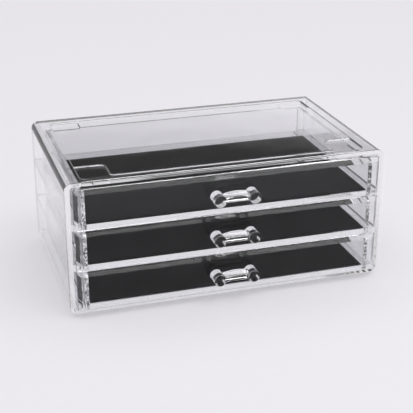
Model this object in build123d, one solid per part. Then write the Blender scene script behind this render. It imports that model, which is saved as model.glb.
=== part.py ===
from build123d import *
import os

# Case sizes, in millimetres
case_width = 238.0
case_depth = 142.5
case_height = 102.0
case_corner_radius = 5.5
case_inner_radius = 2.0
case_front_rounding = 1.0
side_wall = 3.8
top_wall = 3.0
base_wall = 2.6
back_wall = 2.5

# Relief moulded into the top
rim_side = 13.0
rim_front = 6.0
rim_back = 9.5
rim_depth = 1.6
panel_rise = 1.2
panel_inset_front = 4.5
notch_width = 21.5
notch_front = 22.0
notch_back = 19.0
relief_corner_radius = 4.0
rim_rounding = 0.5
panel_rounding = 0.8

# Feet under the four corners
foot_height = 2.2
foot_width = 21.0
foot_depth = 22.0
foot_inset = 5.5
foot_corner_radius = 3.0

# Drawer fronts
drawer_count = 3
front_thickness = 6.0
front_bevel = 3.0
front_end_inset = 5.3
front_gap_top = 1.0
front_gap_between = 0.8
front_gap_base = 2.0

# Drawer trays
tray_inset = 10.4
tray_lift = 0.8
tray_side_wall = 3.0
tray_back_wall = 2.0
tray_floor = 3.0
tray_wall_drop = 5.0
tray_inner_radius = 1.5

# Runners that carry the upper trays and guide all of them
runner_thickness = 2.0
runner_bearing = 4.5
guide_height = 3.0
guide_clearance = 0.6

# Liner mats
mat_thickness = 1.0
mat_gap_side = 0.6
mat_gap_front = 0.6
mat_gap_back = 15.5
mat_corner_radius = 0.8

# Drawer handles
handle_reach = 11.0
post_radius = 4.5
post_spacing = 25.7
post_end_rounding = 0.6
bar_depth = 5.7
bar_height = 4.8
bar_drop = 1.6
bar_rise = 0.3
bar_crown = 2.2
bar_slope = 3.3
bar_back_lean = 8.0
bar_top_rounding = 0.4
bar_low_rounding = 0.5

# Fits
bond_gap = 0.05
slide_gap = 0.15
front_clearance = 0.5
back_clearance = 1.0
overrun = 5.0

# Places along the depth: handles reach to the front, +Y goes to the back
total_depth = handle_reach + front_thickness + front_clearance + case_depth
front_face = handle_reach - total_depth / 2
front_back = front_face + front_thickness
case_front = front_back + front_clearance
case_back = case_front + case_depth
inside_back = case_back - back_wall
tray_front = front_back + bond_gap
tray_back = inside_back - back_clearance

# Places across the width, from the middle
half_width = case_width / 2
inside_half = half_width - side_wall
front_half = half_width - front_end_inset
tray_half = half_width - tray_inset
mat_half = tray_half - tray_side_wall - mat_gap_side

# Places up the height
inside_low = foot_height + base_wall
inside_high = case_height - top_wall
fronts_low = inside_low + front_gap_base
fronts_high = inside_high - front_gap_top
front_height = (fronts_high - fronts_low - front_gap_between * (drawer_count - 1)) / drawer_count
drawer_pitch = front_height + front_gap_between


def block(x0, x1, y0, y1, z0, z1):
    """Box between two opposite corners."""
    size = Box(x1 - x0, y1 - y0, z1 - z0)
    return Pos((x0 + x1) / 2, (y0 + y1) / 2, (z0 + z1) / 2) * size


def pair(x0, x1, y0, y1, z0, z1):
    """The same box on the right and, mirrored, on the left."""
    return [block(x0, x1, y0, y1, z0, z1), block(-x1, -x0, y0, y1, z0, z1)]


def tube(half, low, high, radius, y0, y1):
    """Rounded bar along the depth."""
    outline = Plane.XZ * RectangleRounded(half * 2, high - low, radius)
    return Pos(0, y1, (low + high) / 2) * extrude(outline, y1 - y0)


def slab(half, y0, y1, z0, z1, radius):
    """Flat plate with rounded upright corners."""
    outline = Pos(0, (y0 + y1) / 2, z0) * RectangleRounded(half * 2, y1 - y0, radius)
    return extrude(outline, z1 - z0)


def upright_edges(shape):
    return shape.edges().filter_by(Axis.Z)


def make_case_sleeve():
    """Sleeve of top, base and two sides, open at the front and the back."""
    shell = tube(half_width, foot_height, case_height, case_corner_radius, case_front, case_back)
    shell = fillet(shell.faces().sort_by(Axis.Y)[0].edges(), case_front_rounding)
    shell -= tube(
        inside_half,
        inside_low,
        inside_high,
        case_inner_radius,
        case_front - overrun,
        case_back + overrun,
    )
    rim_half = half_width - rim_side
    rim_low = case_height - rim_depth
    recess = slab(
        rim_half,
        case_front + rim_front,
        case_back - rim_back,
        rim_low,
        case_height + overrun,
        relief_corner_radius,
    )
    shell -= recess
    rim = shell.faces().filter_by(Axis.Z).sort_by(Axis.Z)[-1]
    shell = fillet(rim.inner_wires()[0].edges(), rim_rounding)
    return shell + make_raised_panel(rim_half, rim_low)


def make_raised_panel(rim_half, rim_low):
    """Low panel inside the rim, cut back at its four corners."""
    panel_front = case_front + rim_front + panel_inset_front
    panel_back = case_back - rim_back
    rise = rim_low + panel_rise
    notch_x = rim_half - notch_width
    panel = block(-rim_half, rim_half, panel_front, panel_back, rim_low, rise)
    front_notch = (panel_front - overrun, panel_front + notch_front)
    back_notch = (panel_back - notch_back, panel_back + overrun)
    for y0, y1 in (front_notch, back_notch):
        for notch in pair(notch_x, half_width, y0, y1, 0, case_height):
            panel -= notch
    inner_corners = upright_edges(panel).filter_by(lambda edge: abs(edge.center().X) < rim_half - bond_gap)
    panel = fillet(inner_corners, relief_corner_radius)
    top_edges = panel.faces().sort_by(Axis.Z)[-1].edges()
    free_edges = top_edges.filter_by(
        lambda edge: abs(edge.center().X) < rim_half - bond_gap and edge.center().Y < panel_back - bond_gap
    )
    return fillet(free_edges, panel_rounding)


def make_back_panel():
    """Panel cemented into the rear end of the sleeve."""
    return tube(
        inside_half - bond_gap,
        inside_low + bond_gap,
        inside_high - bond_gap,
        case_inner_radius,
        inside_back,
        case_back,
    )


def make_corner_feet():
    """Four low pads cemented under the base."""
    feet = []
    outer = half_width - foot_inset
    for y0 in (case_front + foot_inset, case_back - foot_inset - foot_depth):
        for foot in pair(outer - foot_width, outer, y0, y0 + foot_depth, 0, foot_height - bond_gap):
            feet.append(fillet(upright_edges(foot), foot_corner_radius))
    return Compound(children=feet)


def drawer_low(level):
    """Lower edge of a drawer front, counted from the bottom drawer up."""
    return fronts_low + drawer_pitch * level


def tray_low(level):
    """Underside of a tray, a little above the lower edge of its front."""
    return drawer_low(level) + tray_lift


def make_runners(level):
    """Stepped strips on the side walls: a ledge under the tray and a guide beside it."""
    ledge_high = tray_low(level) - slide_gap
    guide_inner = tray_half + guide_clearance
    wall_face = inside_half - bond_gap
    runners = []
    ledges = pair(
        tray_half - runner_bearing,
        wall_face,
        case_front,
        inside_back - bond_gap,
        ledge_high - runner_thickness,
        ledge_high,
    )
    guides = pair(
        guide_inner,
        wall_face,
        case_front,
        inside_back - bond_gap,
        ledge_high - runner_thickness,
        ledge_high + guide_height,
    )
    for ledge, guide in zip(ledges, guides):
        runners.append(ledge + guide)
    return Compound(children=runners)


def make_base_guides():
    """Strips on the base that keep the bottom tray straight and carry it."""
    guide_inner = tray_half + guide_clearance
    wall_face = inside_half - case_inner_radius
    seat_high = tray_low(0) - slide_gap
    base_face = inside_low + bond_gap
    strips = []
    seats = pair(
        tray_half - runner_bearing,
        wall_face,
        case_front,
        inside_back - bond_gap,
        base_face,
        seat_high,
    )
    guides = pair(
        guide_inner,
        wall_face,
        case_front,
        inside_back - bond_gap,
        base_face,
        seat_high + guide_height,
    )
    for seat, guide in zip(seats, guides):
        strips.append(seat + guide)
    return Compound(children=strips)


def make_front(level):
    """Thick drawer front, bevelled all round its outer face."""
    low = drawer_low(level)
    high = low + front_height
    bevel_start = front_face + front_bevel
    outline = Plane((0, bevel_start, (low + high) / 2), x_dir=(1, 0, 0), z_dir=(0, -1, 0))
    sketch = outline * Rectangle(front_half * 2, front_height)
    bevelled = extrude(sketch, front_bevel, taper=45)
    return block(-front_half, front_half, bevel_start, front_back, low, high) + bevelled


def make_tray(level):
    """Open tray of floor, two sides and a back; the front closes it."""
    low = tray_low(level)
    rim = drawer_low(level) + front_height - tray_wall_drop
    tray = block(-tray_half, tray_half, tray_front, tray_back, low, rim)
    hollow = block(
        -tray_half + tray_side_wall,
        tray_half - tray_side_wall,
        tray_front - overrun,
        tray_back - tray_back_wall,
        low + tray_floor,
        rim + overrun,
    )
    rear_corners = upright_edges(hollow).group_by(Axis.Y)[-1]
    return tray - fillet(rear_corners, tray_inner_radius)


def make_mat(level):
    """Flat liner that lies on the tray floor."""
    floor = tray_low(level) + tray_floor + bond_gap
    return slab(
        mat_half,
        tray_front + mat_gap_front,
        tray_back - tray_back_wall - mat_gap_back,
        floor,
        floor + mat_thickness,
        mat_corner_radius,
    )


def bar_outline(slope):
    """Arched face of a handle bar, its top lowered by the slope."""
    end = post_spacing / 2
    low = -bar_drop
    high = bar_height - bar_drop - slope
    low_middle = low + bar_rise
    high_middle = high + bar_rise + bar_crown
    edges = [
        Edge.make_line((-end, low), (-end, high)),
        Edge.make_three_point_arc((-end, high), (0, high_middle), (end, high)),
        Edge.make_line((end, high), (end, low)),
        Edge.make_three_point_arc((end, low), (0, low_middle), (-end, low)),
    ]
    return Plane.XZ * make_face(edges)


def make_handle(level):
    """Two round posts joined by an arched bar whose top slopes down to the front."""
    axis_height = drawer_low(level) + front_height / 2
    post_length = handle_reach - bond_gap
    half_spacing = post_spacing / 2
    posts = []
    for x in (-half_spacing, half_spacing):
        post = Pos(x, front_face - handle_reach + post_length / 2, axis_height)
        post *= Rot(90, 0, 0) * Cylinder(post_radius, post_length)
        rim = post.faces().sort_by(Axis.Y)[0].edges()
        posts.append(fillet(rim, post_end_rounding))
    bar_front = front_face - handle_reach + post_end_rounding
    front = Pos(0, bar_front, axis_height) * bar_outline(bar_slope)
    back = Pos(0, bar_front + bar_depth, axis_height) * Rot(bar_back_lean, 0, 0) * bar_outline(0)
    bar = loft([back, front], ruled=True)
    arcs = bar.edges().filter_by(GeomType.CIRCLE).sort_by(Axis.Z)
    bar = fillet(arcs[:2], bar_low_rounding)
    arcs = bar.edges().filter_by(GeomType.CIRCLE).sort_by(Axis.Z)
    bar = fillet(arcs[-2:], bar_top_rounding)
    return posts[0] + bar + posts[1]


def save(shape, name):
    shape.label = name
    export_step(shape, os.path.join("parts", name + ".step"))


os.makedirs("parts", exist_ok=True)
save(make_case_sleeve(), "case_sleeve")
save(make_back_panel(), "back_panel")
save(make_corner_feet(), "corner_feet")
save(make_base_guides(), "bottom_drawer_guides")
save(make_runners(1), "middle_drawer_runners")
save(make_runners(2), "top_drawer_runners")
for level, drawer in enumerate(("bottom_drawer", "middle_drawer", "top_drawer")):
    save(make_tray(level), drawer + "_tray")
    save(make_front(level), drawer + "_front")
    save(make_handle(level), drawer + "_handle")
    save(make_mat(level), drawer + "_mat")
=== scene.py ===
import bpy
import math
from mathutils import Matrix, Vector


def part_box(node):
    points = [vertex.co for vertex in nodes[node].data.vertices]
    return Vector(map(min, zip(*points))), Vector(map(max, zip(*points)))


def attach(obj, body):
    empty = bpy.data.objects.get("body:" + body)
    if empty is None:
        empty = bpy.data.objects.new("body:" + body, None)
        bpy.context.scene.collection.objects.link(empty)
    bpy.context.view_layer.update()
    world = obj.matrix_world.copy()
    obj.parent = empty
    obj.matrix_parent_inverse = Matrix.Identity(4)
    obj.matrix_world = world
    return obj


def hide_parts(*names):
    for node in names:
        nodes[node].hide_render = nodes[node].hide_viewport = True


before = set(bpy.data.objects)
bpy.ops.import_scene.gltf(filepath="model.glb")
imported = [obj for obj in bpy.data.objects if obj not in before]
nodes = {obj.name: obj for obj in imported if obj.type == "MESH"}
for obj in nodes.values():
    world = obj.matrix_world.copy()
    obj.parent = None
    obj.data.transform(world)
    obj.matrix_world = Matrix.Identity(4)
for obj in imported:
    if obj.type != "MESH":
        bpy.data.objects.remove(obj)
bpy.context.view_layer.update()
mm = 0.001


def linear(hex_colour):
    """sRGB hex to linear red, green, blue and alpha."""
    channels = []
    for start in (1, 3, 5):
        value = int(hex_colour[start:start + 2], 16) / 255
        channels.append(value / 12.92 if value <= 0.04045 else ((value + 0.055) / 1.055) ** 2.4)
    return (*channels, 1.0)


def add_node(tree, kind, settings=None, sockets=None, links=None):
    """A node with its settings, socket values and the outputs linked to its inputs."""
    node = tree.nodes.new(kind)
    for name, value in (settings or {}).items():
        setattr(node, name, value)
    for name, value in (sockets or {}).items():
        node.inputs[name].default_value = value
    for name, source in (links or {}).items():
        tree.links.new(source, node.inputs[name])
    return node


def new_finish(name):
    """An empty material with its output node."""
    finish = bpy.data.materials.new(name)
    finish.use_nodes = True
    tree = finish.node_tree
    tree.nodes.clear()
    return finish, tree, add_node(tree, "ShaderNodeOutputMaterial")


def set_ramp(ramp, low, low_colour, high, high_colour):
    """Two stops of a colour ramp, each with its position and colour."""
    stops = ramp.color_ramp.elements
    stops[0].position, stops[0].color = low, low_colour
    stops[1].position, stops[1].color = high, high_colour


# ---- Clear polystyrene -------------------------------------------------------------------------

case_low, case_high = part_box("case_sleeve")
case_edge = case_low.y
tray_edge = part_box("top_drawer_tray")[0].y
tray_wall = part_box("top_drawer_mat")[1].x

# cement was run along the upright edges and the base, and stops short of the top wall
cement_high = case_high.z - 6 * mm
cement_full = 0.1 * mm
cement_end = 0.4 * mm
bead_size = 1.2 * mm
haze_patch = 18 * mm

# the walls were fitted to the picture at 1.5, a little under the usual 1.59 of polystyrene
polystyrene_ior = 1.5


def clear_polystyrene(name, colour, wave_mm, wave_height_mm, gloss, edge=None, bead_mm=0.0, wall=None):
    """Polystyrene moulded clear in a polished tool: glassy, with faint flow waves that bend what shows.
    Its front edge, at this place along Y, is left beaded by the cement, and further out than the wall's
    inner face the base colour is painted dark grey in the beads' pattern: painted shade, which makes
    the wall's end look dark and sparkle."""
    finish, tree, output = new_finish(name)
    place = add_node(tree, "ShaderNodeTexCoord").outputs["Object"]
    waves = add_node(tree, "ShaderNodeTexNoise",
                     sockets={"Scale": 1 / (wave_mm * mm), "Detail": 1.0, "Roughness": 0.4},
                     links={"Vector": place})
    relief = add_node(tree, "ShaderNodeMath", {"operation": "MULTIPLY"}, {1: wave_height_mm},
                      {0: waves.outputs["Fac"]})
    # handling leaves a breath of haze in soft patches
    haze = add_node(tree, "ShaderNodeTexNoise",
                    sockets={"Scale": 1 / haze_patch, "Detail": 3.0, "Roughness": 0.6},
                    links={"Vector": place})
    rough = add_node(tree, "ShaderNodeMapRange",
                     sockets={"From Min": 0.45, "From Max": 0.75, "To Min": 0.0, "To Max": 0.03},
                     links={"Value": haze.outputs["Fac"]})
    shader = add_node(tree, "ShaderNodeBsdfPrincipled",
                      sockets={"Base Color": linear(colour), "IOR": polystyrene_ior,
                               "Transmission Weight": 1.0, "Specular Tint": (gloss, gloss, gloss, 1.0)},
                      links={"Roughness": rough.outputs["Result"]})
    if edge is not None:
        along = add_node(tree, "ShaderNodeSeparateXYZ", links={"Vector": place}).outputs
        near = add_node(tree, "ShaderNodeMapRange",
                        sockets={"From Min": edge + cement_full, "From Max": edge + cement_end,
                                 "To Min": 1.0, "To Max": 0.0},
                        links={"Value": along["Y"]})
        low = add_node(tree, "ShaderNodeMath", {"operation": "LESS_THAN"}, {1: cement_high},
                       {0: along["Z"]})
        cement = add_node(tree, "ShaderNodeMath", {"operation": "MULTIPLY"},
                          links={0: low.outputs["Value"], 1: near.outputs["Result"]})
        beads = add_node(tree, "ShaderNodeTexNoise",
                         sockets={"Scale": 1 / bead_size, "Detail": 2.0, "Roughness": 0.6,
                                  "Distortion": 0.8},
                         links={"Vector": place})
        raised = add_node(tree, "ShaderNodeMath", {"operation": "MULTIPLY"},
                          links={0: beads.outputs["Fac"], 1: cement.outputs["Value"]})
        relief = add_node(tree, "ShaderNodeMath", {"operation": "MULTIPLY_ADD"}, {1: bead_mm},
                          {0: raised.outputs["Value"], 2: relief.outputs["Value"]})
    # painted shade: outside the wall's inner face the base colour turns dark grey in the cement's bead
    # pattern, so the wall's end shows dark and sparkling
    if wall is not None:
        aside = add_node(tree, "ShaderNodeMath", {"operation": "ABSOLUTE"}, links={0: along["X"]})
        outside = add_node(tree, "ShaderNodeMath", {"operation": "GREATER_THAN"}, {1: wall},
                           {0: aside.outputs["Value"]})
        painted_shade_spots = add_node(tree, "ShaderNodeMath", {"operation": "MULTIPLY"},
                           links={0: outside.outputs["Value"], 1: raised.outputs["Value"]})
        painted_shade = add_node(tree, "ShaderNodeValToRGB", links={"Fac": painted_shade_spots.outputs["Value"]})
        set_ramp(painted_shade, 0.46, linear(colour), 0.52, linear("#2c2c2e"))
        tree.links.new(painted_shade.outputs["Color"], shader.inputs["Base Color"])
    bump = add_node(tree, "ShaderNodeBump", sockets={"Strength": 1.0, "Distance": 1 * mm},
                    links={"Height": relief.outputs["Value"]})
    tree.links.new(bump.outputs["Normal"], shader.inputs["Normal"])
    tree.links.new(shader.outputs["BSDF"], output.inputs["Surface"])
    return finish


case_plastic = clear_polystyrene("clear_polystyrene_case", "#fcfcfd", 38, 0.05, 0.5, case_edge, 0.09)
tray_plastic = clear_polystyrene("clear_polystyrene_trays", "#fcfcfd", 30, 0.05, 0.3, tray_edge, 0.06,
                                 tray_wall)
front_plastic = clear_polystyrene("clear_polystyrene_fronts", "#fcfcfd", 30, 0.05, 0.3)
handle_plastic = clear_polystyrene("clear_polystyrene_handles", "#ececed", 12, 0.02, 0.3)

drawer_plastics = {"tray": tray_plastic, "front": front_plastic, "handle": handle_plastic}
for name, node in nodes.items():
    piece = name.rsplit("_", 1)[-1]
    if piece == "mat":
        continue
    finish = drawer_plastics.get(piece, case_plastic)
    for index in range(len(node.material_slots)):
        node.material_slots[index].material = finish
    if not node.material_slots:
        node.data.materials.append(finish)


# ---- Liner mats --------------------------------------------------------------------------------

# tangled fibres, drawn this coarse so that they show at the picture's size
fibre_size = 1.2 * mm
fibre_height = 0.2 * mm
nap_patch = 22 * mm

mat_corner = 0.8 * mm
mat_soft_edge = 0.25 * mm
mat_grid = 4 * mm
mat_lump = 35 * mm
# of the mat's thickness, what is felt and what its uneven lie takes up
felt_share = 0.8
lie_share = 0.2


def black_felt():
    """Needled polyester felt dyed black: dead matte, short tangled fibres, the nap lying in patches."""
    finish, tree, output = new_finish("black_needled_felt")
    place = add_node(tree, "ShaderNodeTexCoord").outputs["Object"]
    fibres = add_node(tree, "ShaderNodeTexNoise",
                      sockets={"Scale": 1 / fibre_size, "Detail": 4.0, "Roughness": 0.7,
                               "Distortion": 1.5},
                      links={"Vector": place})
    nap = add_node(tree, "ShaderNodeTexNoise",
                   sockets={"Scale": 1 / nap_patch, "Detail": 3.0, "Roughness": 0.6},
                   links={"Vector": place})
    mixed = add_node(tree, "ShaderNodeMath", {"operation": "MULTIPLY"},
                     links={0: fibres.outputs["Fac"], 1: nap.outputs["Fac"]})
    shade = add_node(tree, "ShaderNodeValToRGB", links={"Fac": mixed.outputs["Value"]})
    set_ramp(shade, 0.15, linear("#060607"), 0.38, linear("#1a1a1c"))
    bump = add_node(tree, "ShaderNodeBump", sockets={"Strength": 0.35, "Distance": fibre_height},
                    links={"Height": fibres.outputs["Fac"]})
    shader = add_node(tree, "ShaderNodeBsdfPrincipled",
                      sockets={"Roughness": 1.0, "IOR": 1.5, "Specular IOR Level": 0.1,
                               "Sheen Weight": 0.05, "Sheen Roughness": 0.6},
                      links={"Base Color": shade.outputs["Color"], "Normal": bump.outputs["Normal"]})
    tree.links.new(shader.outputs["BSDF"], output.inputs["Surface"])
    return finish


def cut_mat(name, low, high, finish):
    """Sheet of felt with rounded corners, divided finely enough to lie a little uneven."""
    bpy.ops.object.select_all(action="DESELECT")
    middle = (low + high) / 2
    bpy.ops.mesh.primitive_plane_add(size=1, location=(middle.x, middle.y, low.z))
    mat = bpy.context.object
    mat.name = mat.data.name = name
    mat.scale = (high.x - low.x, high.y - low.y, 1)
    bpy.ops.object.transform_apply(location=True, rotation=True, scale=True)
    bpy.ops.object.mode_set(mode="EDIT")
    bpy.ops.mesh.bevel(offset=mat_corner, offset_type="OFFSET", segments=3, affect="VERTICES")
    for axis, first, last in ((0, low.x, high.x), (1, low.y, high.y)):
        count = round((last - first) / mat_grid)
        for index in range(1, count):
            at = [0.0, 0.0, 0.0]
            facing = [0.0, 0.0, 0.0]
            at[axis] = first + (last - first) * index / count
            facing[axis] = 1.0
            bpy.ops.mesh.select_all(action="SELECT")
            bpy.ops.mesh.bisect(plane_co=at, plane_no=facing)
    bpy.ops.object.mode_set(mode="OBJECT")
    thick = mat.modifiers.new("thickness", "SOLIDIFY")
    thick.thickness = (high.z - low.z) * felt_share
    thick.offset = 1.0
    lumps = bpy.data.textures.new(name + "_lie", "CLOUDS")
    lumps.noise_scale = mat_lump
    wave = mat.modifiers.new("uneven_lie", "DISPLACE")
    wave.texture = lumps
    wave.texture_coords = "LOCAL"
    wave.direction = "Z"
    wave.mid_level = 0.0
    wave.strength = (high.z - low.z) * lie_share
    edge = mat.modifiers.new("soft_edge", "BEVEL")
    edge.width = mat_soft_edge
    edge.segments = 2
    edge.limit_method = "ANGLE"
    for modifier in ("thickness", "uneven_lie", "soft_edge"):
        bpy.ops.object.modifier_apply(modifier=modifier)
    bpy.ops.object.shade_smooth_by_angle(angle=math.radians(50))
    mat.data.materials.append(finish)
    return mat


def copy_mat(mat, name, lift):
    """The same sheet with a mesh of its own, raised to its drawer."""
    copied = mat.copy()
    copied.data = mat.data.copy()
    copied.name = copied.data.name = name
    bpy.context.collection.objects.link(copied)
    copied.location.z = lift
    bpy.ops.object.select_all(action="DESELECT")
    copied.select_set(True)
    bpy.context.view_layer.objects.active = copied
    bpy.ops.object.transform_apply(location=True, rotation=True, scale=True)
    return copied


low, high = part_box("bottom_drawer_mat")
first_mat = cut_mat("bottom_drawer_felt_mat", low, high, black_felt())
mats = {"bottom_drawer": first_mat}
for drawer in ("middle_drawer", "top_drawer"):
    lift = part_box(drawer + "_mat")[0].z - low.z
    mats[drawer] = copy_mat(first_mat, drawer + "_felt_mat", lift)
for drawer, mat in mats.items():
    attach(mat, drawer)
    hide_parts(drawer + "_mat")


# ---- Floor, light and camera -------------------------------------------------------------------

floor_size = 60
roller_stipple = 6 * mm
# of what is seen of the floor, the share that is even light, so that its shadow stays soft
even_share = 0.6


def pale_floor():
    """Matt painted board: even and pale, a trace of roller texture."""
    finish, tree, output = new_finish("pale_matt_board")
    place = add_node(tree, "ShaderNodeTexCoord").outputs["Object"]
    stipple = add_node(tree, "ShaderNodeTexNoise", sockets={"Scale": 1 / roller_stipple},
                       links={"Vector": place})
    shade = add_node(tree, "ShaderNodeValToRGB", links={"Fac": stipple.outputs["Fac"]})
    set_ramp(shade, 0.0, linear("#e4e2e7"), 1.0, linear("#e6e4e9"))
    board = add_node(tree, "ShaderNodeBsdfPrincipled",
                     sockets={"Roughness": 1.0, "Specular IOR Level": 0.0},
                     links={"Base Color": shade.outputs["Color"]})
    glow = add_node(tree, "ShaderNodeEmission", sockets={"Strength": 1.0},
                    links={"Color": shade.outputs["Color"]})
    # the eye, the gloss and the clear walls see the same board
    path = add_node(tree, "ShaderNodeLightPath").outputs
    seen = add_node(tree, "ShaderNodeMath", {"operation": "MAXIMUM"},
                    links={0: path["Is Camera Ray"], 1: path["Is Glossy Ray"]})
    seen = add_node(tree, "ShaderNodeMath", {"operation": "MAXIMUM"},
                    links={0: seen.outputs["Value"], 1: path["Is Transmission Ray"]})
    share = add_node(tree, "ShaderNodeMath", {"operation": "MULTIPLY"}, {1: even_share},
                     {0: seen.outputs["Value"]})
    mixed = add_node(tree, "ShaderNodeMixShader",
                     links={"Fac": share.outputs["Value"], 1: board.outputs["BSDF"],
                            2: glow.outputs["Emission"]})
    tree.links.new(mixed.outputs["Shader"], output.inputs["Surface"])
    return finish


bpy.ops.object.select_all(action="DESELECT")
bpy.ops.mesh.primitive_plane_add(size=floor_size, location=(0, 0, 0))
floor = bpy.context.object
floor.name = "studio_floor"
floor.data.materials.append(pale_floor())

# Studio in bands from the horizon up, by the sine of the height: pale walls with one narrow dark strip,
# a dark stretch above them, then the bright ring of overhead light round a dimmer zenith
horizon = (0.3, (0.36, 0.358, 0.364, 1))
zenith = (1.0, (0.35, 0.35, 0.35, 1))
bands = (
    (0.335, 0.04),
    (0.36, 0.03),
    (0.372, 0.36),
    (0.48, 0.36),
    (0.54, 0.01),
    (0.7, 0.01),
    (0.8, 1.0),
    (0.92, 1.0),
    (0.96, 0.35),
)
dome_strength = 2.2

studio = bpy.data.worlds.new("studio")
studio.use_nodes = True
bpy.context.scene.world = studio
tree = studio.node_tree
tree.nodes.clear()
towards = add_node(tree, "ShaderNodeTexCoord").outputs["Generated"]
height = add_node(tree, "ShaderNodeSeparateXYZ", links={"Vector": towards}).outputs["Z"]
room = add_node(tree, "ShaderNodeValToRGB", links={"Fac": height})
set_ramp(room, *horizon, *zenith)
for position, level in bands:
    stop = room.color_ramp.elements.new(position)
    stop.color = (level, level, level, 1)
dome = add_node(tree, "ShaderNodeBackground", sockets={"Strength": dome_strength},
                links={"Color": room.outputs["Color"]})
add_node(tree, "ShaderNodeOutputWorld", links={"Surface": dome.outputs["Background"]})

# Softbox above the front, a little to the right
box_light = bpy.data.lights.new("softbox", "AREA")
box_light.shape = "RECTANGLE"
box_light.size = 0.9
box_light.size_y = 0.4
box_light.energy = 4.5
softbox = bpy.data.objects.new("softbox", box_light)
bpy.context.scene.collection.objects.link(softbox)
softbox.location = (0.327, -0.553, 1.09)
softbox.rotation_euler = (math.radians(30.4), 0, math.radians(33))

# Camera a little to the left and above, as in the picture
looks_down = 22.679
turned_right = 17.415
lens = bpy.data.cameras.new("camera")
lens.sensor_width = 36
lens.lens = 92.18
lens.clip_start = 0.01
camera = bpy.data.objects.new("camera", lens)
bpy.context.scene.collection.objects.link(camera)
camera.location = (-0.22543, -0.72372, 0.36309)
camera.rotation_euler = (math.radians(90 - looks_down), 0, math.radians(-turned_right))
bpy.context.scene.camera = camera

# light has to pass many clear walls one behind the other
scene = bpy.context.scene
scene.view_settings.view_transform = "Standard"
scene.cycles.max_bounces = 48
scene.cycles.transmission_bounces = 48
scene.cycles.glossy_bounces = 24
